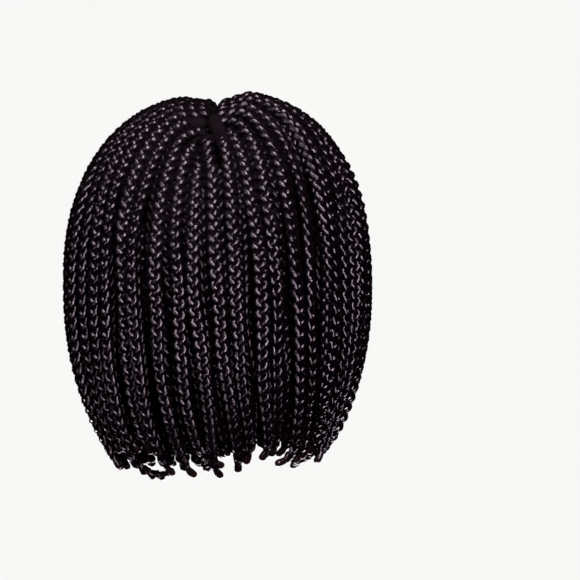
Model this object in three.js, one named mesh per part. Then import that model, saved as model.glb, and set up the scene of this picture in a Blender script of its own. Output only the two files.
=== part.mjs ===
// Braided bob wig: a stretch cap, three panels of under braids, and an outer layer of single braids that
// fall from a centre parting to a bob's edge and curl in at their ends.
// Millimetres, +Z up. The face looks along -Y, the wearer's left is +X, and the origin is the top of the
// head, where it meets the inside of the cap.

import * as THREE from "three";

const { clamp, degToRad, lerp, smoothstep } = THREE.MathUtils;

// Head that fills the cap: an ellipsoid, longer below its widest level
const HEAD = {
  halfWidth: 75,
  halfLength: 96,
  widestDrop: 100,
  lowerHeight: 130,
};

// Stretch cap. The rim falls from the forehead round to the nape.
const CAP = {
  wall: 1.5,
  foreheadDrop: 53,
  napeDrop: 160,
  rimPower: 0.8,
  columns: 36,
  rows: 8,
};

// Form that the outer braids' centrelines lie on: a superellipse over the crown, squarer to the sides than
// to the back, and below the widest level an ellipse that draws the braids in towards their ends. The lanes
// spread by some degrees as they are drawn in, so the back hangs straighter than the sides, and at the back
// they drift to the wearer's right.
const FORM = {
  halfWidth: 110,
  backReach: 122,
  frontReach: 112,
  widestDrop: 135,
  crownRise: 10.4,
  rightHigher: 1.9,
  sidePower: 2.4,
  backPower: 2,
  tuckHeight: 165,
  endSpread: 11,
  endDrift: 9,
};

// Centre parting. Its ends are angles from straight up, seen from the middle of the head.
const PARTING = {
  backAngle: 52,
  frontAngle: 62,
  halfGap: 2.5,
  rootLift: 3,
  riseRun: 26,
  turnOut: 0.55,
  turnDown: 0.12,
};

// Lanes that the hair falls in, counted from the middle of the back to both sides of the face
const LANES = {
  perSide: 19,
  degrees: 7.5,
};

// Outer braids, one in the middle of each lane
const BRAID = {
  width: 8.8,
  thickness: 6.6,
  sides: 6,
  sway: 1.5,
  swayTurns: 1.3,
};

// Lower ends: the fall below the widest level, a little longer on the wearer's left, then the length of the
// curl and its lean from straight down
const ENDS = {
  fall: 114,
  fallSpread: 6,
  napeShorter: 8,
  leftLonger: 3,
  curl: 20,
  curlSpread: 5,
  lean: 62,
  leanSpread: 18,
};

// Sections along a braid, as shares of its length, width and thickness
const STATIONS = [
  { along: 0.0, width: 0.55, thickness: 0.7 },
  { along: 0.03, width: 0.7, thickness: 0.85 },
  { along: 0.075, width: 0.9, thickness: 1.0 },
  { along: 0.13, width: 1.0, thickness: 1.0 },
  { along: 0.19, width: 1.0, thickness: 1.0 },
  { along: 0.255, width: 1.0, thickness: 1.0 },
  { along: 0.325, width: 1.0, thickness: 1.0 },
  { along: 0.41, width: 1.0, thickness: 1.0 },
  { along: 0.53, width: 1.0, thickness: 1.0 },
  { along: 0.67, width: 0.98, thickness: 1.0 },
  { along: 0.8, width: 0.94, thickness: 0.96 },
  { along: 0.9, width: 0.88, thickness: 0.92 },
  { along: 0.96, width: 0.68, thickness: 0.78 },
  { along: 1.0, width: 0.5, thickness: 0.62 },
];

// Under braids: ribs show between the outer braids, and valleys pass below them. Depths are measured in
// from the outer braids' centrelines, and the wall thins from the crown to the lock ends.
const UNDER = {
  ribDepth: 3,
  valleyDepth: 3.9,
  crownDepth: 22,
  endDepth: 11,
  firstStation: 2,
  ribEnd: 0.985,
  valleyEnd: 0.95,
  fallShorter: 8,
  leanFurther: 22,
};

// Panels of the under braids, from lane to lane, with a part of a lane left open at each edge
const PANELS = [
  { name: "under_braids_right", from: -19, to: -7 },
  { name: "under_braids_back", from: -7, to: 7 },
  { name: "under_braids_left", from: 7, to: 19 },
];
const PANEL_EDGE = 0.05;

const CAP_CLEARANCE = 1.1;

// Steps of the sums and differences below, in millimetres, lanes or stages
const FLAT = 1e-6;
const NUDGE = 1e-3;
const LENGTH_STEPS = 90;
const LAST_STAGE = 3;

// Traits that vary from braid to braid
const TRAIT = { fall: 1, curl: 2, lean: 3, sway: 4 };
const LANE_TURN = 0.618034;
const TRAIT_TURN = 0.414214;

const HAIR = { color: 0x1f181e, roughness: 0.55, metalness: 0 };
const NET = { color: 0x141113, roughness: 0.9, metalness: 0 };

// Closed solid through rings of points. A strip across the first and last ring closes the ends, unless the
// rings run round in a circle. Triangles that a shared point makes flat are left out.
function loft(rings, round = false) {
  const corners = [];
  const triangle = (a, b, c) => {
    const shortest = Math.min(a.distanceTo(b), b.distanceTo(c), c.distanceTo(a));
    if (shortest > FLAT) corners.push(a, b, c);
  };
  const quad = (a, b, c, d) => {
    triangle(a, b, c);
    triangle(a, c, d);
  };
  const sides = rings[0].length;
  const bands = round ? rings.length : rings.length - 1;
  for (let i = 0; i < bands; i++) {
    const near = rings[i];
    const far = rings[(i + 1) % rings.length];
    for (let j = 0; j < sides; j++) {
      const next = (j + 1) % sides;
      quad(near[j], near[next], far[next], far[j]);
    }
  }
  if (!round) {
    const first = rings[0];
    const last = rings[rings.length - 1];
    for (let j = 0; j < sides / 2 - 1; j++) {
      const back = sides - 1 - j;
      quad(first[j], first[back], first[back - 1], first[j + 1]);
      quad(last[j], last[j + 1], last[back - 1], last[back]);
    }
  }
  return new THREE.BufferGeometry().setFromPoints(corners);
}

// Height of the cap's outside, raised by lift, over a point of the plan
function capHeight(plan, lift) {
  const across = plan.x / (HEAD.halfWidth + lift);
  const along = plan.y / (HEAD.halfLength + lift);
  const up = Math.sqrt(Math.max(0, 1 - across ** 2 - along ** 2));
  return (HEAD.widestDrop + lift) * up - HEAD.widestDrop;
}

// Height of the hair's form over a point of the plan
function formHeight(plan, lane) {
  const across = (plan.x / FORM.halfWidth) ** 2;
  const along = (plan.y / (plan.y > 0 ? FORM.backReach : FORM.frontReach)) ** 2;
  const power = lerp(FORM.backPower, FORM.sidePower, across / (across + along + FLAT));
  const out = Math.min(1, across + along) ** (power / 2);
  const lean = FORM.rightHigher * Math.sin(degToRad(lane * LANES.degrees));
  const rise = FORM.widestDrop + FORM.crownRise - lean;
  return rise * (1 - out) ** (1 / power) - FORM.widestDrop;
}

// Foot of a lane: its point on the widest ring, turned by some radians
function footOf(lane, turn) {
  const azimuth = degToRad(lane * LANES.degrees) + turn;
  const reach = Math.cos(azimuth) > 0 ? FORM.backReach : FORM.frontReach;
  return new THREE.Vector2(FORM.halfWidth * Math.sin(azimuth), reach * Math.cos(azimuth));
}

// A lane over the crown: it leaves the parting sideways, rises to the form and turns out to its foot
function crownPoint(lane, share) {
  const foot = footOf(lane, 0);
  const lift = CAP.wall + PARTING.rootLift;
  const side = clamp(2 * lane, -1, 1);
  const angle = lerp(PARTING.backAngle, -PARTING.frontAngle, Math.abs(lane) / LANES.perSide);
  const rootY = (HEAD.halfLength + lift) * Math.sin(degToRad(angle));
  const root = new THREE.Vector2(side * PARTING.halfGap, rootY);
  const turn = new THREE.Vector2(PARTING.turnOut * foot.x, lerp(rootY, foot.y, PARTING.turnDown));
  const plan = new THREE.QuadraticBezierCurve(root, turn, foot).getPoint(1 - (1 - share) ** 2);
  const rise = smoothstep(plan.distanceTo(root), 0, PARTING.riseRun);
  const height = lerp(capHeight(plan, lift), formHeight(plan, lane), rise);
  return new THREE.Vector3(plan.x, plan.y, height);
}

// A lane below the widest level: its place on the plan, and the share of the foot's reach left by the tuck
function drawnIn(lane, drop) {
  const share = (drop / FORM.tuckHeight) ** 2;
  const draw = Math.sqrt(1 - share);
  const azimuth = degToRad(lane * LANES.degrees);
  const spread = degToRad(FORM.endSpread) * Math.sin(2 * azimuth);
  const drift = degToRad(FORM.endDrift) * Math.max(0, Math.cos(azimuth)) ** 2;
  const foot = footOf(lane, share * (spread - drift));
  return { plan: foot.clone().multiplyScalar(draw), reach: foot.length(), draw };
}

function fallPoint(lane, drop) {
  const { plan } = drawnIn(lane, drop);
  return new THREE.Vector3(plan.x, plan.y, -FORM.widestDrop - drop);
}

// A lane's end: an arc that turns from the fall's own lean to the lean of the tip
function curlPoint(lane, share, tail) {
  const { plan, reach, draw } = drawnIn(lane, tail.fall);
  const slope = (reach * tail.fall) / (FORM.tuckHeight ** 2 * draw);
  const firstLean = Math.atan(slope);
  const bend = (tail.lean - firstLean) / tail.curl;
  const lean = firstLean + bend * tail.curl * share;
  const inward = (Math.cos(firstLean) - Math.cos(lean)) / bend;
  const drop = (Math.sin(lean) - Math.sin(firstLean)) / bend;
  plan.setLength(reach * draw - inward);
  return new THREE.Vector3(plan.x, plan.y, -FORM.widestDrop - tail.fall - drop);
}

// Point of a lane: stage 0 to 1 is the crown, 1 to 2 the fall and 2 to 3 the curl
function lanePoint(lane, stage, tail) {
  if (stage <= 1) return crownPoint(lane, stage);
  if (stage <= 2) return fallPoint(lane, (stage - 1) * tail.fall);
  return curlPoint(lane, stage - 2, tail);
}

// Stages of a lane at which the given shares of its length are reached
function stagesAt(lane, tail, shares) {
  const lengths = [0];
  let before = lanePoint(lane, 0, tail);
  for (let i = 1; i <= LENGTH_STEPS; i++) {
    const point = lanePoint(lane, (LAST_STAGE * i) / LENGTH_STEPS, tail);
    lengths.push(lengths[i - 1] + point.distanceTo(before));
    before = point;
  }
  return shares.map((share) => {
    const wanted = share * lengths[LENGTH_STEPS];
    const after = clamp(lengths.findIndex((length) => length >= wanted), 1, LENGTH_STEPS);
    const part = (wanted - lengths[after - 1]) / (lengths[after] - lengths[after - 1]);
    return (LAST_STAGE * (after - 1 + part)) / LENGTH_STEPS;
  });
}

// Point, outward normal and sideways direction of a lane at a stage
function laneFrame(lane, stage, tail) {
  const point = lanePoint(lane, stage, tail);
  const low = clamp(stage - NUDGE, 0, LAST_STAGE);
  const high = clamp(stage + NUDGE, 0, LAST_STAGE);
  const along = lanePoint(lane, high, tail).sub(lanePoint(lane, low, tail)).normalize();
  const across = lanePoint(lane + NUDGE, stage, tail).sub(lanePoint(lane - NUDGE, stage, tail));
  const normal = across.cross(along).normalize();
  const side = normal.clone().cross(along);
  return { point, normal, side };
}

// Value from -1 to 1 for a trait of a lane, spread evenly over the lanes
function vary(lane, trait) {
  const turns = LANE_TURN * (lane + LANES.perSide) + TRAIT_TURN * trait;
  return 2 * (turns - Math.floor(turns)) - 1;
}

function meanTail(lane) {
  const azimuth = degToRad(lane * LANES.degrees);
  const shorter = ENDS.napeShorter * Math.max(0, Math.cos(azimuth)) ** 2;
  return {
    fall: ENDS.fall - shorter + ENDS.leftLonger * Math.sin(azimuth),
    curl: ENDS.curl,
    lean: degToRad(ENDS.lean),
  };
}

function braidTail(lane) {
  const mean = meanTail(lane);
  return {
    fall: mean.fall + ENDS.fallSpread * vary(lane, TRAIT.fall),
    curl: mean.curl + ENDS.curlSpread * vary(lane, TRAIT.curl),
    lean: mean.lean + degToRad(ENDS.leanSpread) * vary(lane, TRAIT.lean),
  };
}

function underTail(lane) {
  const mean = meanTail(lane);
  return {
    fall: mean.fall - UNDER.fallShorter,
    curl: mean.curl,
    lean: mean.lean + degToRad(UNDER.leanFurther),
  };
}

function braidGeometry(lane) {
  const tail = braidTail(lane);
  const stages = stagesAt(lane, tail, STATIONS.map((station) => station.along));
  const rings = STATIONS.map((station, i) => {
    const { point, normal, side } = laneFrame(lane, stages[i], tail);
    const swing = 2 * Math.PI * (BRAID.swayTurns * station.along + vary(lane, TRAIT.sway));
    point.addScaledVector(side, BRAID.sway * station.along * Math.sin(swing));
    const ring = [];
    for (let j = 0; j < BRAID.sides; j++) {
      const turn = (2 * Math.PI * j) / BRAID.sides;
      const out = 0.5 * BRAID.width * station.width * Math.cos(turn);
      const up = 0.5 * BRAID.thickness * station.thickness * Math.sin(turn);
      ring.push(point.clone().addScaledVector(side, out).addScaledVector(normal, up));
    }
    return ring;
  });
  return loft(rings);
}

// Distance from a point, straight in along its normal, to a little outside the cap
function depthToCap(point, normal) {
  const lift = CAP.wall + CAP_CLEARANCE;
  const height = point.z > -HEAD.widestDrop ? HEAD.widestDrop : HEAD.lowerHeight;
  const axes = new THREE.Vector3(HEAD.halfWidth + lift, HEAD.halfLength + lift, height + lift);
  const place = new THREE.Vector3(point.x, point.y, point.z + HEAD.widestDrop).divide(axes);
  const way = normal.clone().divide(axes);
  const square = way.lengthSq();
  const middle = place.dot(way);
  const inside = middle ** 2 - square * (place.lengthSq() - 1);
  return inside > 0 ? (middle - Math.sqrt(inside)) / square : Infinity;
}

// Outer and inner point of the under braids' wall
function underPoints(lane, isRib, stage, share, tail) {
  const { point, normal } = laneFrame(lane, stage, tail);
  const deepest = lerp(UNDER.crownDepth, UNDER.endDepth, share);
  const outer = isRib ? UNDER.ribDepth : UNDER.valleyDepth;
  const inner = Math.min(depthToCap(point, normal), deepest);
  return {
    outer: point.clone().addScaledVector(normal, -outer),
    inner: point.clone().addScaledVector(normal, -inner),
  };
}

function panelGeometry({ from, to }) {
  const stations = STATIONS.slice(UNDER.firstStation, -1);
  const columns = [];
  for (let middle = from; middle <= to; middle += 0.5) {
    const lane = clamp(middle, from + PANEL_EDGE, to - PANEL_EDGE);
    const isRib = Number.isInteger(middle);
    const tail = underTail(lane);
    const end = isRib ? UNDER.ribEnd : UNDER.valleyEnd;
    const shares = stations.map((station) => Math.min(station.along, end));
    shares[shares.length - 1] = end;
    const stages = stagesAt(lane, tail, shares);
    columns.push(stages.map((stage, i) => underPoints(lane, isRib, stage, shares[i], tail)));
  }
  const rings = stations.map((_, i) => {
    const outer = columns.map((column) => column[i].outer);
    const inner = columns.map((column) => column[i].inner);
    return [...outer, ...inner.reverse()];
  });
  return loft(rings);
}

// Point of the cap's surface at an azimuth from the back and a share of the way from the top to the rim
function capPoint(azimuth, share, lift) {
  const fall = ((1 + Math.cos(azimuth)) / 2) ** CAP.rimPower;
  const rimHeight = HEAD.widestDrop - lerp(CAP.foreheadDrop, CAP.napeDrop, fall);
  const rim = Math.acos(rimHeight / (rimHeight > 0 ? HEAD.widestDrop : HEAD.lowerHeight));
  const polar = rim * share;
  const height = polar < Math.PI / 2 ? HEAD.widestDrop : HEAD.lowerHeight;
  return new THREE.Vector3(
    (HEAD.halfWidth + lift) * Math.sin(polar) * Math.sin(azimuth),
    (HEAD.halfLength + lift) * Math.sin(polar) * Math.cos(azimuth),
    (height + lift) * Math.cos(polar) - HEAD.widestDrop,
  );
}

function capGeometry() {
  const rings = [];
  for (let i = 0; i < CAP.columns; i++) {
    const azimuth = (2 * Math.PI * i) / CAP.columns;
    const outer = [];
    const inner = [];
    for (let j = 0; j <= CAP.rows; j++) {
      outer.push(capPoint(azimuth, j / CAP.rows, CAP.wall));
      inner.push(capPoint(azimuth, j / CAP.rows, 0));
    }
    rings.push([...outer.reverse(), ...inner]);
  }
  return loft(rings, true);
}

const wig = new THREE.Group();

function addPiece(name, geometry, finish) {
  const piece = new THREE.Mesh(geometry, new THREE.MeshStandardMaterial(finish));
  piece.name = name;
  wig.add(piece);
}

addPiece("wig_cap", capGeometry(), NET);

for (const panel of PANELS) {
  addPiece(panel.name, panelGeometry(panel), HAIR);
}

for (let i = 0; i < LANES.perSide; i++) {
  const number = String(i + 1).padStart(2, "0");
  addPiece(`braid_left_${number}`, braidGeometry(i + 0.5), HAIR);
  addPiece(`braid_right_${number}`, braidGeometry(-i - 0.5), HAIR);
}

export default wig;
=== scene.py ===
# Braided bob wig: real three-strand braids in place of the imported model's smooth locks, on a net cap.
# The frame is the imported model's: metres, +Z up, the face looks along -Y, the origin is the top of the head.
import math
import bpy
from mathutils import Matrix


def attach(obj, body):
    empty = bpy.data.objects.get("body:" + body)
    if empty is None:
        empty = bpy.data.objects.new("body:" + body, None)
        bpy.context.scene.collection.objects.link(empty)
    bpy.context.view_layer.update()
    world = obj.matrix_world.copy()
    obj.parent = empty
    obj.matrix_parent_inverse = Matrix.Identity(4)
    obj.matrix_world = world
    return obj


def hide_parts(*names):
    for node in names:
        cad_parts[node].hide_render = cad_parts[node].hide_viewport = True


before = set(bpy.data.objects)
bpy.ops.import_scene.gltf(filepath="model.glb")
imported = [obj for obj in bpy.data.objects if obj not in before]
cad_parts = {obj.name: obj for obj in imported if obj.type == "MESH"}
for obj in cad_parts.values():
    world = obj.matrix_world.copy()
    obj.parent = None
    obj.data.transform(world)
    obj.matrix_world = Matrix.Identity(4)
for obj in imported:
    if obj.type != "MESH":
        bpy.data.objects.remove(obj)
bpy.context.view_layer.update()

from types import SimpleNamespace as Sizes

import bpy
import numpy as np
from mathutils import Vector

MM = 0.001

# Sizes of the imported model, in millimetres and degrees
HEAD = Sizes(half_width=75, half_length=96, widest_drop=100, lower_height=130)
CAP = Sizes(wall=1.5, forehead_drop=53, nape_drop=160, rim_power=0.8)
FORM = Sizes(
    half_width=110,
    back_reach=122,
    front_reach=112,
    widest_drop=135,
    crown_rise=10.4,
    right_higher=1.9,
    side_power=2.4,
    back_power=2,
    tuck_height=165,
    end_spread=11,
    end_drift=9,
)
PARTING = Sizes(
    back_angle=52,
    front_angle=62,
    half_gap=2.5,
    root_lift=3,
    rise_run=26,
    turn_out=0.55,
    turn_down=0.12,
)
LANES = Sizes(per_side=19, degrees=7.5, face_margin=0.6)
ENDS = Sizes(
    fall=114,
    fall_spread=6,
    nape_shorter=8,
    left_longer=3,
    curl=20,
    curl_spread=5,
    lean=62,
    lean_spread=18,
)
SWAY = Sizes(reach=1.5, turns=1.3)
BACK_LEAN = 8

# Traits of a lane, by number, and the turns that spread their values evenly over lanes and traits
TRAIT = Sizes(fall=1, curl=2, lean=3, sway=4)
LANE_TURN = 0.618034
TRAIT_TURN = 0.414214

# Steps of the sums and differences along a lane
FLAT = 1e-6
NUDGE = 1e-3
LENGTH_STEPS = 600
LAST_STAGE = 3

# A braid, in millimetres: how far its strands swing across and weave in depth, their half depth, and the
# length in which a strand makes its whole round. As shares: how sharply a strand turns at the sides, how
# it hurries on its way back, how its weave leans, and how much braids differ in size and round and
# strands are uneven
BRAID = Sizes(
    strands=3,
    swing=3.2,
    weave=1.9,
    half_depth=1.9,
    period=23.5,
    snap=0.15,
    rush=0.45,
    skew=0.6,
    smallest=0.88,
    largest=1.07,
    shortest_round=0.93,
    longest_round=1.07,
    uneven=0.04,
    uneven_wave=9,
)
# From a braid's root through its middle to its end: the size of the braid, the half width of its strands
# in millimetres, and how loose their fibres are
BRAID_SHARES = (0, 0.5, 1)
BRAID_BODY = (1.3, 1.17, 0.86)
BRAID_HALF_WIDTH = (2.3, 1.9, 1.7)
BRAID_LOOSE = (0.3, 0.05, 0.0)

# Places along the streaks of the fibres: the latest start of a braid, and how far apart its strands are
STREAKS = Sizes(latest_start=1000, strands_apart=300)

# The smooth wrapped root of a braid: its size in millimetres, how far its tube reaches on among the
# strands, how the tube swells and narrows, and the shares of its length where it narrows and fades and
# where the strands come out
ROOT = Sizes(
    length=6,
    half_width=3.7,
    long_half_width=5.2,
    half_depth=2.9,
    reach_share=1.4,
    reach_more=4,
    first_size=0.4,
    swell_run=7,
    last_size=0.55,
    narrow_from=0.45,
    fade_from=0.5,
    strands_from=0.3,
    woven_from=0.4,
)
# Long roots at the end of the parting, by lane: their length, and how many lanes further up they start
LONG_ROOTS = {0.5: (12, 0), 1.5: (18, 0), 2.5: (12, 0), 3.5: (26, 0), -0.5: (18, 1), -1.5: (50, 2)}

# How braids leave the cap, in millimetres: how far they start below their lane and from the middle of the
# parting, how far a root that starts further up rises over the others, how close to the cap they start,
# and how far they keep from it, each with the run that it takes
SEAT = Sizes(
    sink=3.4,
    sink_run=9,
    meet=0.4,
    meet_run=14,
    lift=10,
    lift_run=9,
    lower_run=44,
    close=0.8,
    clear=5,
    clear_run=9,
)

# The smooth sealed tip of a braid: its size in millimetres, its neck's size, how far up its tube starts
# among the strands, where the strands end and how long its finish takes, as shares of its length, and the
# rows of its tube, with those of its round end by the share of it that is left
TIP = Sizes(
    length=6,
    half_width=2.8,
    half_depth=2.5,
    round=2.6,
    neck=0.7,
    reach_share=1.8,
    strands_left=0.7,
    finish_share=1.5,
    rows=12,
    round_rows=(0.7, 0.45, 0.25, 0.1, 0.01),
)
# Sides that the tubes of roots and tips have beyond those of the strands
MORE_SIDES = 2

# Hair by its shine: the outer and inmost braids with all tips; the braids between them, whose shine is turned
# down as painted shade from the braids over them; and the wrapped roots, which are matt and have none, and the
# loose locks, whose lack of shine is painted shade
SHINE = Sizes(open=0, covered=1, deep=2)
SPECULAR = {"open_hair": 0.5, "painted_shade_hair": 0.2, "matt_and_painted_shade_hair": 0.0}

# What a stretch of hair is beside plain: a wrapped root, or a sealed tip whose lighter colour is partly
# painted light
FINISH = Sizes(plain=(0, 0, 0), root=(1, 0, 0), tip=(0, 1, 0))

# The outer layer of braids, and how they stray from their lanes, in millimetres and radians: aside, in
# depth and in twist, with the shares of the lane that it takes and the lengths of its waves
OUTER = Sizes(first=0.0, size=1.0, shine=SHINE.open, step=1.5, sides=8)
STRAY = Sizes(
    aside=1.8,
    aside_share=0.4,
    aside_wander=0.7,
    aside_wave=120,
    rise=1,
    sink=4.5,
    sink_from=0.25,
    sink_share=0.3,
    twist=0.45,
    twist_share=0.3,
    twist_wander=0.25,
    twist_wave=170,
)

# Layers of braids below the outer one: how deep they lie at some shares of the lane, the share where they
# leave the cap, how far they lie from whole lanes, their size and shine, and the step and sides of strands
DEPTH_SHARES = (0.1, 0.26, 0.4, 0.6, 1.0)
# The first two under layers have their shine turned down as painted shade from the braids over them
UNDER_LAYERS = [
    Sizes(
        depths=(3.4, 4.6, 9.0, 14.0, 8.0),
        first=0.05,
        offset=0.0,
        size=1.0,
        shine=SHINE.covered,
        step=2.0,
        sides=7,
    ),
    Sizes(
        depths=(9.8, 11.6, 15.5, 18.5, 12.0),
        first=0.2,
        offset=0.5,
        size=1.15,
        shine=SHINE.covered,
        step=2.4,
        sides=6,
    ),
    Sizes(
        depths=(16.5, 18.5, 22.5, 24.5, 16.0),
        first=0.36,
        offset=0.0,
        size=1.25,
        shine=SHINE.open,
        step=2.6,
        sides=6,
    ),
]
# How under braids differ from their lanes, in millimetres, degrees and radians: their length and lean,
# how far below they are rooted, and how they stray aside, in depth and in twist
UNDER = Sizes(
    fall_shorter=1,
    fall_longer=14,
    lean_further=22,
    edge_share=0.9,
    root_depth=14,
    root_run=28,
    aside=1.5,
    aside_run=40,
    aside_wander=0.9,
    aside_wave=130,
    end_aside=9,
    end_share=0.18,
    depth_wander=0.6,
    depth_wave=120,
    twist=0.5,
    twist_wander=0.4,
    twist_wave=150,
)

# Loose locks between the layers, which narrow in the last of some equal parts of their length. They are
# painted shade: a dark, shineless sheet that stands for the shade between the layers.
DEEP = Sizes(
    depths=(13, 15, 19, 21.5, 13.5),
    first=0.3,
    step=4.0,
    sides=6,
    half_width=4.6,
    half_depth=1.2,
    lane_step=0.5,
    parts=7,
    last_size=0.1,
)

# Panels that the under braids are gathered in, from lane to lane
PANELS = {"under_braids_right": (-19, -7), "under_braids_back": (-7, 7), "under_braids_left": (7, 19)}

# The bob's edge: how much shorter than the usual its braids are, in millimetres, from lane to lane
EDGE_LANES = (-11, -9.5, -7.5, -5.5, -3.2, -1.5, 1.5, 3.5, 4.7, 7, 8.5, 11)
EDGE_SHORTER = (6, 9, 11, 8, 13, 4, -1, 3, 23, 24, 11, 5)

# Ends of outer braids that hook aside along the edge: how much longer than the usual the braid is, the
# hook's length in millimetres, and its turn in degrees, by lane, and the limits of these for the others
HOOKS = {6.5: (24, 60, 130), 1.5: (8, 30, 75), -4.5: (-2, 27, -88), -9.5: (-6, 45, -30)}
HOOK = Sizes(shortest=16, longest=28, turn=45)

# Looks of the hair: where its two tones lie in the streaks, the colours of roots and tips, the tint of
# its shine, the size of the streaks, and its roughness and relief. The relief's depth is in metres.
HAIR_LOOK = Sizes(
    dark=(0.3, (0.0007, 0.0002, 0.0006, 1)),
    light=(0.75, (0.0025, 0.001, 0.0022, 1)),
    root=(0.013, 0.0092, 0.0112, 1),
    # The tips' warm brown is partly their own sealed colour and partly painted light, lightened where the
    # lamps barely reach the down-turned tips
    tip=(0.02, 0.009, 0.007, 1),
    tint=(1, 0.86, 0.98, 1),
    stretch=(1, 1, 0.03),
    streaks={"Scale": 9, "Detail": 3, "Roughness": 0.6},
    roughness=(0.08, 0.22),
    root_rougher=0.25,
    relief=(0.3, 1.0),
    relief_depth=0.0004,
)
# Looks of the net: where its threads and the ground between them lie, and its relief, in metres of depth
NET_LOOK = Sizes(
    thread=(0.05, (0.03, 0.025, 0.028, 1)),
    ground=(0.2, (0.006, 0.005, 0.0055, 1)),
    surface={"Roughness": 0.9, "Specular IOR Level": 0.1},
    cells={"Scale": 450, "Randomness": 1.0},
    relief=0.8,
    relief_depth=0.0005,
)

# The picture: 580 pixels square, with the wig left of its middle
IMAGE_PIXELS = 580
PIXEL_MM = 0.74
WIG_PIXEL = Sizes(x=218.5, top_of_head_y=112)
CAMERA = Sizes(distance=1.25, elevation=2.0, azimuth=6.0)

# The studio, in metres: a pale bowl round the wig
STUDIO = Sizes(
    radius=4.0,
    floor=-1.65,
    top=9.0,
    bend=0.8,
    bend_rows=10,
    sides=48,
    colour=(0.93, 0.93, 0.915),
    matt=0.03,
)

# The lamps, in metres and watts, and the faint light from all round
LIGHT_COLOUR = (1, 0.91, 0.99)
LIGHT_TARGET = (0, 0, -0.13)
LIGHTS = [
    Sizes(name="key", place=(-0.4, 1.5, 0.78), width=0.35, height=1.9, power=57),
    Sizes(name="top", place=(-0.2, 1.1, 1.4), width=1.6, height=1.0, power=6),
    Sizes(name="fill", place=(0.8, 1.45, 0.0), width=0.4, height=1.2, power=7),
    Sizes(name="front_left", place=(0.3, -1.2, -1.2), width=0.7, height=0.7, power=16),
    Sizes(name="front_right", place=(-0.3, -1.2, -1.2), width=0.7, height=0.7, power=12),
]
ALL_ROUND = {"Color": (1, 0.75, 1, 1), "Strength": 0.008}

random = np.random.default_rng(7)


def mix(a, b, share):
    return a + (b - a) * share


def smooth(x):
    x = np.clip(x, 0, 1)
    return x * x * (3 - 2 * x)


def unit(vectors):
    return vectors / np.linalg.norm(vectors, axis=-1, keepdims=True)


def square_to(vectors, along):
    """Unit vectors whose part along another direction is taken out."""
    return unit(vectors - (vectors * along).sum(1, keepdims=True) * along)


# Lanes that the hair falls in


def vary(lane, trait):
    """Value from -1 to 1 for a trait of a lane, spread evenly over the lanes."""
    turns = LANE_TURN * (lane + LANES.per_side) + TRAIT_TURN * trait
    return 2 * (turns - math.floor(turns)) - 1


def cap_height(plan, lift):
    """Height of the cap's outside, raised by lift, over points of the plan."""
    across = plan[..., 0] / (HEAD.half_width + lift)
    along = plan[..., 1] / (HEAD.half_length + lift)
    up = np.sqrt(np.maximum(0, 1 - across**2 - along**2))
    return (HEAD.widest_drop + lift) * up - HEAD.widest_drop


def form_height(plan, lane):
    """Height of the hair's crown over points of the plan."""
    across = (plan[..., 0] / FORM.half_width) ** 2
    reach = np.where(plan[..., 1] > 0, FORM.back_reach, FORM.front_reach)
    along = (plan[..., 1] / reach) ** 2
    power = mix(FORM.back_power, FORM.side_power, across / (across + along + FLAT))
    out = np.minimum(1, across + along) ** (power / 2)
    lean = FORM.right_higher * math.sin(math.radians(lane * LANES.degrees))
    return (FORM.widest_drop + FORM.crown_rise - lean) * (1 - out) ** (1 / power) - FORM.widest_drop


def foot_of(lane, turn):
    """Point of a lane on the widest ring, turned by some radians."""
    azimuth = math.radians(lane * LANES.degrees) + np.asarray(turn, float)
    reach = np.where(np.cos(azimuth) > 0, FORM.back_reach, FORM.front_reach)
    return np.stack([FORM.half_width * np.sin(azimuth), reach * np.cos(azimuth)], -1)


def crown_points(lane, share):
    """Points of a lane from the parting to the widest level."""
    foot = foot_of(lane, 0)
    lift = CAP.wall + PARTING.root_lift
    side = min(1, max(-1, 2 * lane))
    angle = mix(PARTING.back_angle, -PARTING.front_angle, abs(lane) / LANES.per_side)
    root_y = (HEAD.half_length + lift) * math.sin(math.radians(angle))
    root = np.array([side * PARTING.half_gap, root_y])
    turn = np.array([PARTING.turn_out * foot[0], mix(root_y, foot[1], PARTING.turn_down)])
    out = (1 - (1 - share) ** 2)[:, None]
    plan = (1 - out) ** 2 * root + 2 * out * (1 - out) * turn + out**2 * foot
    rise = smooth(np.linalg.norm(plan - root, axis=1) / PARTING.rise_run)
    height = mix(cap_height(plan, lift), form_height(plan, lane), rise)
    return np.column_stack([plan, height])


def drawn_in(lane, drop):
    """Plan of a lane below the widest level, with its reach there and the share that the tuck leaves."""
    share = (np.asarray(drop, float) / FORM.tuck_height) ** 2
    draw = np.sqrt(1 - share)
    azimuth = math.radians(lane * LANES.degrees)
    spread = math.radians(FORM.end_spread) * math.sin(2 * azimuth)
    drift = math.radians(FORM.end_drift) * max(0, math.cos(azimuth)) ** 2
    foot = foot_of(lane, share * (spread - drift))
    return foot * draw[..., None], np.linalg.norm(foot, axis=-1), draw


def fall_points(lane, drop):
    """Points of a lane at some drops below the widest level."""
    plan, _, _ = drawn_in(lane, drop)
    return np.column_stack([plan, -FORM.widest_drop - drop])


def curl_points(lane, share, tail):
    """Points of a lane's end, which bends in below the fall."""
    plan, reach, draw = drawn_in(lane, tail.fall)
    first_lean = math.atan(reach * tail.fall / (FORM.tuck_height**2 * draw))
    bend = (tail.lean - first_lean) / tail.curl
    lean = first_lean + bend * tail.curl * share
    inward = (math.cos(first_lean) - np.cos(lean)) / bend
    drop = (np.sin(lean) - math.sin(first_lean)) / bend
    radial = unit(plan) * (reach * draw - inward)[:, None]
    return np.column_stack([radial, -FORM.widest_drop - tail.fall - drop])


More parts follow.
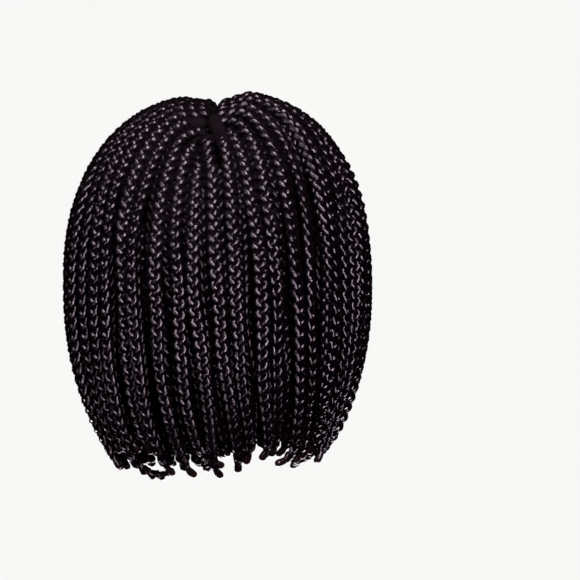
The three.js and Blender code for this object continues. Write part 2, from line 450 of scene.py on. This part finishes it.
def lane_points(lane, stage, tail):
    """Points of a lane: stage 0 to 1 is the crown, 1 to 2 the fall and 2 to 3 the curl."""
    crown = crown_points(lane, np.clip(stage, 0, 1))
    fall = fall_points(lane, np.clip(stage - 1, 0, 1) * tail.fall)
    curl = curl_points(lane, np.clip(stage - 2, 0, 1), tail)
    stage = stage[:, None]
    return np.where(stage <= 1, crown, np.where(stage <= 2, fall, curl))


def mean_tail(lane):
    """The usual fall, curl and last lean of a lane."""
    azimuth = math.radians(lane * LANES.degrees)
    shorter = ENDS.nape_shorter * max(0, math.cos(azimuth)) ** 2
    fall = ENDS.fall - shorter + ENDS.left_longer * math.sin(azimuth)
    return Sizes(fall=fall, curl=ENDS.curl, lean=math.radians(ENDS.lean))


def outer_tail(lane):
    tail = mean_tail(lane)
    tail.fall += ENDS.fall_spread * vary(lane, TRAIT.fall)
    tail.fall += HOOKS[lane][0] if lane in HOOKS else -np.interp(lane, EDGE_LANES, EDGE_SHORTER)
    tail.curl += ENDS.curl_spread * vary(lane, TRAIT.curl)
    tail.lean += math.radians(ENDS.lean_spread) * vary(lane, TRAIT.lean)
    return tail


def under_tail(lane):
    tail = mean_tail(lane)
    tail.fall += random.uniform(-UNDER.fall_shorter, UNDER.fall_longer)
    tail.fall -= UNDER.edge_share * np.interp(lane, EDGE_LANES, EDGE_SHORTER)
    tail.curl += ENDS.curl_spread * random.uniform(-1, 1)
    tail.lean += math.radians(UNDER.lean_further + ENDS.lean_spread * random.uniform(-1, 1))
    return tail


def depth_to_cap(points, out):
    """Distance from points, straight in against their normals, to the cap."""
    low = points[:, 2] < -HEAD.widest_drop
    height = np.where(low, HEAD.lower_height, HEAD.widest_drop) + CAP.wall
    wide = np.full_like(height, HEAD.half_width + CAP.wall)
    long = np.full_like(height, HEAD.half_length + CAP.wall)
    axes = np.column_stack([wide, long, height])
    place = (points + [0, 0, HEAD.widest_drop]) / axes
    way = out / axes
    square = (way**2).sum(1)
    middle = (place * way).sum(1)
    inside = middle**2 - square * ((place**2).sum(1) - 1)
    reached = (middle - np.sqrt(np.maximum(inside, 0))) / square
    return np.where(inside > 0, reached, np.inf)


def over_cap(points):
    """Whether points lie above the level of the cap's rim."""
    azimuth = np.arctan2(points[:, 0], points[:, 1])
    back = ((1 + np.cos(azimuth)) / 2) ** CAP.rim_power
    return points[:, 2] > -mix(CAP.forehead_drop, CAP.nape_drop, back) - CAP.wall


def lane_line(lane, tail, first, step):
    """Points of a lane at even steps, from a share of its length to its end, with their outward normals.

    A lane that has left the cap by that share starts at the cap's rim.
    """
    stage = np.linspace(0, LAST_STAGE, LENGTH_STEPS)
    points = lane_points(lane, stage, tail)
    run = np.concatenate([[0], np.cumsum(np.linalg.norm(np.diff(points, axis=0), axis=1))])
    first = (run / run[-1])[over_cap(points) & (run <= first * run[-1])].max()
    count = int((1 - first) * run[-1] / step)
    stage = np.interp(np.linspace(first * run[-1], run[-1], count), run, stage)
    points = lane_points(lane, stage, tail)
    low = lane_points(lane, np.clip(stage - NUDGE, 0, LAST_STAGE), tail)
    high = lane_points(lane, np.clip(stage + NUDGE, 0, LAST_STAGE), tail)
    across = lane_points(lane + NUDGE, stage, tail) - lane_points(lane - NUDGE, stage, tail)
    out = unit(np.cross(across, high - low))
    lean = BACK_LEAN * max(0, math.cos(math.radians(lane * LANES.degrees))) ** 2
    share = np.linspace(first, 1, count)[:, None]
    return points + lean * smooth(share) * unit(np.cross(out, high - low)), out


class Line:
    """A smooth line that a braid follows: points, run along it, and its sideways and outward directions."""

    def __init__(self, points, out, twist):
        along = unit(np.gradient(points, axis=0))
        out = square_to(out, along)
        side = np.cross(out, along)
        cos = np.cos(twist)[:, None]
        sin = np.sin(twist)[:, None]
        self.points = points
        self.side = cos * side + sin * out
        self.out = cos * out - sin * side
        steps = np.linalg.norm(np.diff(points, axis=0), axis=1)
        self.run = np.concatenate([[0], np.cumsum(steps)])
        self.length = self.run[-1]

    def at(self, run, values):
        """Values at other places along the line."""
        return np.column_stack([np.interp(run, self.run, column) for column in values.T])


def wander(run, reach, wave):
    """A slow random swing along a braid, of about the given reach."""
    total = np.zeros_like(run)
    for octave in (1, 2):
        phase = random.uniform(0, 2 * math.pi)
        total += reach / octave * np.sin(2 * math.pi * octave * run / wave + phase)
    return total


def outer_line(lane):
    """Line of an outer braid: its lane, rooted at the parting, with its own sway, stray and hooked end."""
    points, out = lane_line(lane, outer_tail(lane), OUTER.first, OUTER.step)
    share = np.linspace(0, 1, len(points))
    run = share * len(points) * OUTER.step
    side = np.cross(out, unit(np.gradient(points, axis=0)))
    swing = 2 * math.pi * (SWAY.turns * share + vary(lane, TRAIT.sway))
    across = SWAY.reach * share * np.sin(swing)
    aside = random.uniform(-STRAY.aside, STRAY.aside)
    aside = aside + wander(run, STRAY.aside_wander, STRAY.aside_wave)
    across += smooth(share / STRAY.aside_share) * aside
    sink = SEAT.sink * (1 - smooth(run / SEAT.sink_run))
    sink += smooth((share - STRAY.sink_from) / STRAY.sink_share) * random.uniform(-STRAY.rise, STRAY.sink)
    points = points + across[:, None] * side - sink[:, None] * out
    points[:, 0] -= math.copysign(PARTING.half_gap - SEAT.meet, lane) * (1 - smooth(run / SEAT.meet_run))
    points += raised_root(lane, run, out)
    points += np.maximum(0, clearance(run, OUTER) - depth_to_cap(points, out))[:, None] * out
    hook_length = random.uniform(HOOK.shortest, HOOK.longest)
    hook_turn = math.copysign(random.uniform(0, HOOK.turn), lane)
    if lane in HOOKS:
        _, hook_length, hook_turn = HOOKS[lane]
    points, out = hooked(points, out, hook_length, hook_turn)
    twist = smooth(share / STRAY.twist_share) * random.normal(0, STRAY.twist)
    twist += wander(run, STRAY.twist_wander, STRAY.twist_wave)
    return Line(points, out, twist)


def clearance(run, layer):
    """How far a braid of a layer keeps from the cap along its run."""
    return mix(SEAT.close, SEAT.clear * layer.size, smooth(run / SEAT.clear_run))


def raised_root(lane, run, out):
    """How far the start of a lane is moved up along the parting, over the roots beside it."""
    _, lanes_up = LONG_ROOTS.get(lane, (0, 0))
    start = np.zeros(1)
    shift = crown_points(lane + math.copysign(lanes_up, lane), start) - crown_points(lane, start)
    left = 1 - smooth(run / SEAT.lower_run)
    lift = SEAT.lift * min(1, lanes_up) * smooth(run / SEAT.lift_run) * left
    return left[:, None] * shift + lift[:, None] * out


def hooked(points, out, length, turn):
    """A line whose last stretch bends aside along the bob's edge, through some degrees."""
    step = np.linalg.norm(points[-1] - points[-2])
    first = len(points) - int(length / step)
    along = unit(points[first] - points[first - 1])
    angle = np.radians(np.linspace(0, turn, len(points) - first))
    straight = points[first] + step * np.cumsum(np.cos(angle))[:, None] * along
    round_edge = step * np.cumsum(np.sin(angle)) / np.linalg.norm(points[first, :2])
    bent = turned(straight, round_edge)
    bent_out = turned(np.repeat(out[first][None], len(bent), axis=0), round_edge)
    return np.concatenate([points[:first], bent]), np.concatenate([out[:first], bent_out])


def turned(vectors, angle):
    """Vectors turned about the upright axis."""
    x, y, z = vectors.T
    cos, sin = np.cos(angle), np.sin(angle)
    return np.column_stack([x * cos - y * sin, x * sin + y * cos, z])


def under_line(lane, layer):
    """Line of an under braid: below its lane by its layer's depth, and clear of the cap."""
    points, out = lane_line(lane, under_tail(lane), layer.first, layer.step)
    run = np.arange(len(points)) * layer.step
    share = mix(layer.first, 1, run / run[-1])
    side = np.cross(out, unit(np.gradient(points, axis=0)))
    to_cap = depth_to_cap(points, out)
    wanted = np.interp(share, DEPTH_SHARES, layer.depths)
    wanted += wander(run, UNDER.depth_wander, UNDER.depth_wave)
    wanted = np.minimum(wanted, to_cap - SEAT.clear * layer.size)
    rooted = np.minimum(to_cap - clearance(run, layer), wanted + UNDER.root_depth)
    depth = mix(rooted, wanted, smooth(run / UNDER.root_run))
    aside = random.uniform(-UNDER.aside, UNDER.aside)
    aside = aside + wander(run, UNDER.aside_wander, UNDER.aside_wave)
    end_aside = random.uniform(-UNDER.end_aside, UNDER.end_aside)
    end_share = (share - 1 + UNDER.end_share) / UNDER.end_share
    across = smooth(run / UNDER.aside_run) * aside + end_aside * smooth(end_share)
    points = points + across[:, None] * side - depth[:, None] * out
    twist = random.normal(0, UNDER.twist) + wander(run, UNDER.twist_wander, UNDER.twist_wave)
    return Line(points, out, twist)


def deep_line(lane):
    """Line of a loose lock between the layers, part of a dark sheet of painted shade there."""
    tail = mean_tail(lane)
    tail.fall -= np.interp(lane, EDGE_LANES, EDGE_SHORTER)
    points, out = lane_line(lane, tail, DEEP.first, DEEP.step)
    share = np.linspace(DEEP.first, 1, len(points))
    wanted = np.interp(share, DEPTH_SHARES, DEEP.depths)
    depth = np.minimum(wanted, depth_to_cap(points, out) - CAP.wall)
    return Line(points - depth[:, None] * out, out, np.zeros(len(points)))


# Meshes of braids


class Hair:
    """Gathers tubes of hair into one mesh."""

    def __init__(self):
        self.points = []
        self.fibre = []
        self.finish = []
        self.corners = []
        self.sizes = []
        self.shines = []
        self.count = 0

    def tube(self, points, side, out, half_width, half_depth, sides, run, finish, shine):
        """A closed tube with an oval section, whose fibres run along it."""
        turn = 2 * math.pi * np.arange(sides) / sides
        wide = half_width[:, None] * np.cos(turn)
        deep = half_depth[:, None] * np.sin(turn)
        ring = points[:, None] + wide[..., None] * side[:, None] + deep[..., None] * out[:, None]
        count = len(points)
        self.points.append(ring.reshape(-1, 3))
        fibre = np.empty((count, sides, 3))
        fibre[..., 0] = np.cos(turn)
        fibre[..., 1] = np.sin(turn)
        fibre[..., 2] = run[:, None]
        self.fibre.append(fibre.reshape(-1, 3))
        self.finish.append(np.repeat(finish, sides, axis=0))
        near = np.arange(count - 1)[:, None] * sides + np.arange(sides)
        next_along = np.arange(count - 1)[:, None] * sides + (np.arange(sides) + 1) % sides
        quads = np.stack([near, next_along, next_along + sides, near + sides], -1) + self.count
        first = np.arange(sides)[::-1] + self.count
        last = np.arange(sides) + (count - 1) * sides + self.count
        self.corners += [quads.ravel(), first, last]
        sizes = np.append(np.full(quads.size // 4, 4), [sides, sides])
        self.sizes.append(sizes)
        self.shines.append(np.full(len(sizes), shine))
        self.count += count * sides

    def piece(self, name, materials):
        """The mesh as an object, with a material for each shine."""
        mesh = bpy.data.meshes.new(name)
        points = np.concatenate(self.points) * MM
        corners = np.concatenate(self.corners)
        sizes = np.concatenate(self.sizes)
        mesh.vertices.add(len(points))
        mesh.vertices.foreach_set("co", points.ravel())
        mesh.loops.add(len(corners))
        mesh.loops.foreach_set("vertex_index", corners)
        mesh.polygons.add(len(sizes))
        mesh.polygons.foreach_set("loop_start", np.concatenate([[0], np.cumsum(sizes)[:-1]]))
        for material in materials:
            mesh.materials.append(material)
        mesh.polygons.foreach_set("material_index", np.concatenate(self.shines))
        fibre = mesh.attributes.new("fibre", "FLOAT_VECTOR", "POINT")
        fibre.data.foreach_set("vector", np.concatenate(self.fibre).ravel())
        finish = mesh.attributes.new("finish", "FLOAT_VECTOR", "POINT")
        finish.data.foreach_set("vector", np.concatenate(self.finish).ravel())
        mesh.update(calc_edges=True)
        mesh.shade_smooth()
        piece = bpy.data.objects.new(name, mesh)
        bpy.context.collection.objects.link(piece)
        return piece


def strand_points(line, turn, size):
    """Points of a strand at some turns of its round, in a braid of some sizes along a line."""
    swung = turn + BRAID.rush * np.cos(2 * turn)
    across = np.sin(swung) - BRAID.snap * np.sin(3 * swung)
    across *= BRAID.swing / (1 + BRAID.snap) * size
    depth = -BRAID.weave * size * np.sin(2 * turn + BRAID.skew * np.sin(2 * turn))
    return line.points + across[:, None] * line.side + depth[:, None] * line.out


def add_braid(hair, line, layer, root, root_width):
    """Three strands that swing round each other, out of a smooth root and into a smooth sealed tip."""
    run, length = line.run, line.length
    size = layer.size * random.uniform(BRAID.smallest, BRAID.largest)
    body = size * np.interp(run / length, BRAID_SHARES, BRAID_BODY)
    half_width = np.interp(run / length, BRAID_SHARES, BRAID_HALF_WIDTH)
    finish = np.outer(np.interp(run / length, BRAID_SHARES, BRAID_LOOSE), FINISH.root)
    woven = smooth((run - ROOT.woven_from * root) / ((1 - ROOT.woven_from) * root))
    woven *= smooth((length - TIP.length - run) / TIP.length)
    kept = (run > ROOT.strands_from * root) & (run < length - TIP.strands_left * TIP.length)
    period = BRAID.period * random.uniform(BRAID.shortest_round, BRAID.longest_round)
    phase = random.uniform(0, 2 * math.pi)
    start = random.uniform(0, STREAKS.latest_start)
    for strand in range(BRAID.strands):
        turn = 2 * math.pi * (run / period + strand / BRAID.strands) + phase
        points = strand_points(line, turn, body * woven)
        along = unit(np.gradient(points, axis=0))
        out = square_to(line.out, along)
        swell = body * (1 + wander(run, BRAID.uneven, BRAID.uneven_wave))
        hair.tube(
            points[kept],
            np.cross(out, along)[kept],
            out[kept],
            (half_width * swell)[kept],
            BRAID.half_depth * swell[kept],
            layer.sides,
            run[kept] + start + STREAKS.strands_apart * strand,
            finish[kept],
            layer.shine,
        )
    add_root(hair, line, layer.sides, root, root_width, start)
    add_tip(hair, line, layer.sides, size, start)


def add_root(hair, line, sides, root, half_width, start):
    """A smooth tube round the start of a braid, which narrows and fades among the strands."""
    reach = ROOT.reach_share * root + ROOT.reach_more
    kept = line.run < reach
    run = line.run[kept]
    share = run / reach
    swell = mix(ROOT.first_size, 1, smooth(run / ROOT.swell_run))
    swell *= mix(1, ROOT.last_size, smooth((share - ROOT.narrow_from) / (1 - ROOT.narrow_from)))
    fade = smooth((share - ROOT.fade_from) / (1 - ROOT.fade_from))
    hair.tube(
        line.points[kept],
        line.side[kept],
        line.out[kept],
        half_width * swell,
        ROOT.half_depth * swell,
        sides + MORE_SIDES,
        run + start,
        np.outer(1 - fade, FINISH.root),
        SHINE.deep,
    )


def add_tip(hair, line, sides, size, start):
    """A smooth tube with a round end, out of the last of the strands."""
    first = line.length - TIP.reach_share * TIP.length
    body = np.linspace(first, line.length - TIP.round, TIP.rows)
    end = line.length - TIP.round * np.array(TIP.round_rows)
    run = np.concatenate([body, end])
    left = np.clip((line.length - run) / TIP.round, 0, 1)
    swell = size * mix(TIP.neck, 1, smooth((run - first) / TIP.length)) * np.sqrt(1 - (1 - left) ** 2)
    # The sealed tip's colour, lightened in part as painted light
    sealed_and_lit = smooth((run - first) / (TIP.finish_share * TIP.length))
    hair.tube(
        line.at(run, line.points),
        unit(line.at(run, line.side)),
        unit(line.at(run, line.out)),
        TIP.half_width * swell,
        TIP.half_depth * swell,
        sides + MORE_SIDES,
        run + start,
        np.outer(sealed_and_lit, FINISH.tip),
        SHINE.open,
    )


def add_deep_lock(hair, line):
    """A flat lock that narrows in the last part of its length, dark and shineless as painted shade."""
    parts_left = np.linspace(DEEP.parts, 0, len(line.run))
    swell = np.sqrt(np.clip(parts_left, DEEP.last_size, 1))
    hair.tube(
        line.points,
        line.side,
        line.out,
        DEEP.half_width * swell,
        DEEP.half_depth * swell,
        DEEP.sides,
        line.run,
        np.tile(FINISH.plain, (len(line.run), 1)),
        # No shine: painted shade
        SHINE.deep,
    )


# Materials


def new_material(name):
    material = bpy.data.materials.new(name)
    material.use_nodes = True
    return material, material.node_tree.nodes, material.node_tree.links


def set_sockets(node, values):
    for name, value in values.items():
        node.inputs[name].default_value = value


def fibre_streaks(nodes, links):
    """Noise in long streaks along the fibres."""
    fibre = nodes.new("ShaderNodeAttribute")
    fibre.attribute_name = "fibre"
    stretch = nodes.new("ShaderNodeVectorMath")
    stretch.operation = "MULTIPLY"
    stretch.inputs[1].default_value = HAIR_LOOK.stretch
    links.new(fibre.outputs["Vector"], stretch.inputs[0])
    streaks = nodes.new("ShaderNodeTexNoise")
    set_sockets(streaks, HAIR_LOOK.streaks)
    links.new(stretch.outputs["Vector"], streaks.inputs["Vector"])
    return streaks.outputs["Fac"]


def finish_shares(nodes, links):
    """How far the hair is a wrapped root, and how far a sealed tip, whose colour is partly painted light."""
    finish = nodes.new("ShaderNodeAttribute")
    finish.attribute_name = "finish"
    share = nodes.new("ShaderNodeSeparateXYZ")
    links.new(finish.outputs["Vector"], share.inputs["Vector"])
    return share.outputs["X"], share.outputs["Y"]


def two_tones(nodes, links, value, first, last):
    """A colour that goes with a value from one tone to another, each given as its place and colour."""
    tones = nodes.new("ShaderNodeValToRGB")
    for element, (place, colour) in zip(tones.color_ramp.elements, (first, last)):
        element.position = place
        element.color = colour
    links.new(value, tones.inputs["Fac"])
    return tones.outputs["Color"]


def streaked(nodes, links, colour, share, streaks, other):
    """A colour that gives way to another in streaks, by some share."""
    amount = nodes.new("ShaderNodeMath")
    amount.operation = "MULTIPLY"
    links.new(share, amount.inputs[0])
    links.new(streaks, amount.inputs[1])
    blend = nodes.new("ShaderNodeMix")
    blend.data_type = "RGBA"
    blend.inputs["B"].default_value = other
    links.new(amount.outputs["Value"], blend.inputs["Factor"])
    links.new(colour, blend.inputs["A"])
    return blend.outputs["Result"]


def spread(nodes, links, value, low, high):
    """A value from 0 to 1, spread from low to high."""
    limits = nodes.new("ShaderNodeMapRange")
    set_sockets(limits, {"To Min": low, "To Max": high})
    links.new(value, limits.inputs["Value"])
    return limits.outputs["Result"]


def add_relief(nodes, links, shader, height, depth):
    """Relief of a shader, from heights of 0 to 1."""
    bump = nodes.new("ShaderNodeBump")
    bump.inputs["Distance"].default_value = depth
    links.new(height, bump.inputs["Height"])
    links.new(bump.outputs["Normal"], shader.inputs["Normal"])
    return bump


def hair_material(name, specular):
    """Black hair with fine fibres, which are rougher and deeper where it is wrapped or loose."""
    material, nodes, links = new_material(name)
    shader = nodes["Principled BSDF"]
    # Copies of this material with less or no shine paint the shade on hair that other braids cover
    set_sockets(shader, {"Specular IOR Level": specular, "Specular Tint": HAIR_LOOK.tint})
    streaks = fibre_streaks(nodes, links)
    root_share, tip_share = finish_shares(nodes, links)
    colour = two_tones(nodes, links, streaks, HAIR_LOOK.dark, HAIR_LOOK.light)
    colour = streaked(nodes, links, colour, root_share, streaks, HAIR_LOOK.root)
    # Sealed tips turn brown, partly as painted light
    colour = streaked(nodes, links, colour, tip_share, streaks, HAIR_LOOK.tip)
    links.new(colour, shader.inputs["Base Color"])
    roughness = nodes.new("ShaderNodeMath")
    roughness.operation = "MULTIPLY_ADD"
    roughness.inputs[1].default_value = HAIR_LOOK.root_rougher
    links.new(root_share, roughness.inputs[0])
    links.new(spread(nodes, links, streaks, *HAIR_LOOK.roughness), roughness.inputs[2])
    links.new(roughness.outputs["Value"], shader.inputs["Roughness"])
    bump = add_relief(nodes, links, shader, streaks, HAIR_LOOK.relief_depth)
    links.new(spread(nodes, links, root_share, *HAIR_LOOK.relief), bump.inputs["Strength"])
    return material


def net_material():
    """Matt threads round the cells of a net."""
    material, nodes, links = new_material("cap_net")
    shader = nodes["Principled BSDF"]
    set_sockets(shader, NET_LOOK.surface)
    place = nodes.new("ShaderNodeTexCoord")
    cells = nodes.new("ShaderNodeTexVoronoi")
    cells.feature = "DISTANCE_TO_EDGE"
    set_sockets(cells, NET_LOOK.cells)
    links.new(place.outputs["Object"], cells.inputs["Vector"])
    to_thread = cells.outputs["Distance"]
    colour = two_tones(nodes, links, to_thread, NET_LOOK.thread, NET_LOOK.ground)
    links.new(colour, shader.inputs["Base Color"])
    bump = add_relief(nodes, links, shader, to_thread, NET_LOOK.relief_depth)
    bump.invert = True
    bump.inputs["Strength"].default_value = NET_LOOK.relief
    return material


def glowing_material(name, colour, matt):
    """A surface that glows evenly and is a little brighter where the lamps reach it."""
    material, nodes, _ = new_material(name)
    shader = nodes["Principled BSDF"]
    set_sockets(shader, {"Base Color": (matt, matt, matt, 1), "Roughness": 1.0, "Specular IOR Level": 0.0})
    set_sockets(shader, {"Emission Color": (*colour, 1), "Emission Strength": 1.0})
    return material


# Pieces


def place_piece(piece, slot, *nodes):
    """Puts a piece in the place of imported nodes."""
    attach(piece, "root")
    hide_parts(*nodes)


def make_outer_braids(materials):
    for number in range(1, LANES.per_side + 1):
        for side, sign in (("left", 1), ("right", -1)):
            node = f"braid_{side}_{number:02d}"
            hair = Hair()
            lane = sign * (number - 0.5)
            root, _ = LONG_ROOTS.get(lane, (ROOT.length, 0))
            root_width = ROOT.long_half_width if lane in LONG_ROOTS else ROOT.half_width
            add_braid(hair, outer_line(lane), OUTER, root, root_width)
            place_piece(hair.piece(f"{node}_strands", materials), "braided_hair", node)


def lanes_between(low, high, step):
    """Lanes of a panel, apart from those that would hang in the face."""
    lanes = np.arange(low, high, step)
    return lanes[abs(lanes) < LANES.per_side - LANES.face_margin]


def make_under_braids(materials):
    for node, (low, high) in PANELS.items():
        hair = Hair()
        for layer in UNDER_LAYERS:
            for lane in lanes_between(low + layer.offset, high, 1.0):
                add_braid(hair, under_line(lane, layer), layer, ROOT.length, ROOT.half_width)
        for lane in lanes_between(low, high, DEEP.lane_step):
            add_deep_lock(hair, deep_line(lane))
        place_piece(hair.piece(f"{node}_strands", materials), "braided_hair", node)


def dress_cap(material):
    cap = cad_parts["wig_cap"]
    cap.data.materials.clear()
    cap.data.materials.append(material)


# Studio


def make_studio():
    """A pale round floor that curves up into a wall, and throws no light on the wig."""
    turns = 2 * math.pi * np.arange(STUDIO.sides) / STUDIO.sides
    bends = np.radians(np.linspace(0, 90, STUDIO.bend_rows))
    reach = np.append(STUDIO.radius + STUDIO.bend * (np.sin(bends) - 1), STUDIO.radius)
    height = np.append(STUDIO.floor + STUDIO.bend * (1 - np.cos(bends)), STUDIO.top)
    points = [(r * math.sin(t), r * math.cos(t), z) for r, z in zip(reach, height) for t in turns]
    faces = [list(range(STUDIO.sides))]
    for ring in range(len(reach) - 1):
        for i in range(STUDIO.sides):
            near = ring * STUDIO.sides + i
            beside = ring * STUDIO.sides + (i + 1) % STUDIO.sides
            faces.append([near, beside, beside + STUDIO.sides, near + STUDIO.sides])
    mesh = bpy.data.meshes.new("studio")
    mesh.from_pydata(points, [], faces)
    mesh.shade_smooth()
    mesh.materials.append(glowing_material("pale_studio", STUDIO.colour, STUDIO.matt))
    studio = bpy.data.objects.new("studio", mesh)
    studio.visible_diffuse = False
    studio.visible_glossy = False
    bpy.context.collection.objects.link(studio)


def add_light(light):
    data = bpy.data.lights.new(light.name, "AREA")
    data.shape = "RECTANGLE"
    data.size = light.width
    data.size_y = light.height
    data.energy = light.power
    data.color = LIGHT_COLOUR
    lamp = bpy.data.objects.new(light.name, data)
    lamp.location = light.place
    way = Vector(LIGHT_TARGET) - Vector(light.place)
    lamp.rotation_euler = way.to_track_quat("-Z", "Y").to_euler()
    bpy.context.collection.objects.link(lamp)


def make_lights():
    world = bpy.data.worlds.new("studio")
    world.use_nodes = True
    set_sockets(world.node_tree.nodes["Background"], ALL_ROUND)
    bpy.context.scene.world = world
    for light in LIGHTS:
        add_light(light)
    bpy.context.scene.view_settings.view_transform = "Standard"


def make_camera():
    """Behind the wig, a little to the wearer's right, with the wig left of the picture's middle."""
    middle = IMAGE_PIXELS / 2
    azimuth = math.radians(CAMERA.azimuth)
    behind = Vector((-math.sin(azimuth), math.cos(azimuth), 0))
    aside = Vector((-math.cos(azimuth), -math.sin(azimuth), 0))
    target = aside * (middle - WIG_PIXEL.x) * PIXEL_MM * MM
    target.z = (WIG_PIXEL.top_of_head_y - middle) * PIXEL_MM * MM
    data = bpy.data.cameras.new("camera")
    data.angle = 2 * math.atan(middle * PIXEL_MM * MM / CAMERA.distance)
    camera = bpy.data.objects.new("camera", data)
    camera.location = behind * CAMERA.distance
    camera.location.z = target.z + CAMERA.distance * math.tan(math.radians(CAMERA.elevation))
    camera.rotation_euler = (target - camera.location).to_track_quat("-Z", "Y").to_euler()
    bpy.context.collection.objects.link(camera)
    bpy.context.scene.camera = camera


make_camera()
make_lights()
make_studio()
# Hair at full shine, with shine turned down as painted shade, and with none for matt roots and painted shade
hair_looks = [hair_material(name, specular) for name, specular in SPECULAR.items()]
make_outer_braids(hair_looks)
make_under_braids(hair_looks)
dress_cap(net_material())
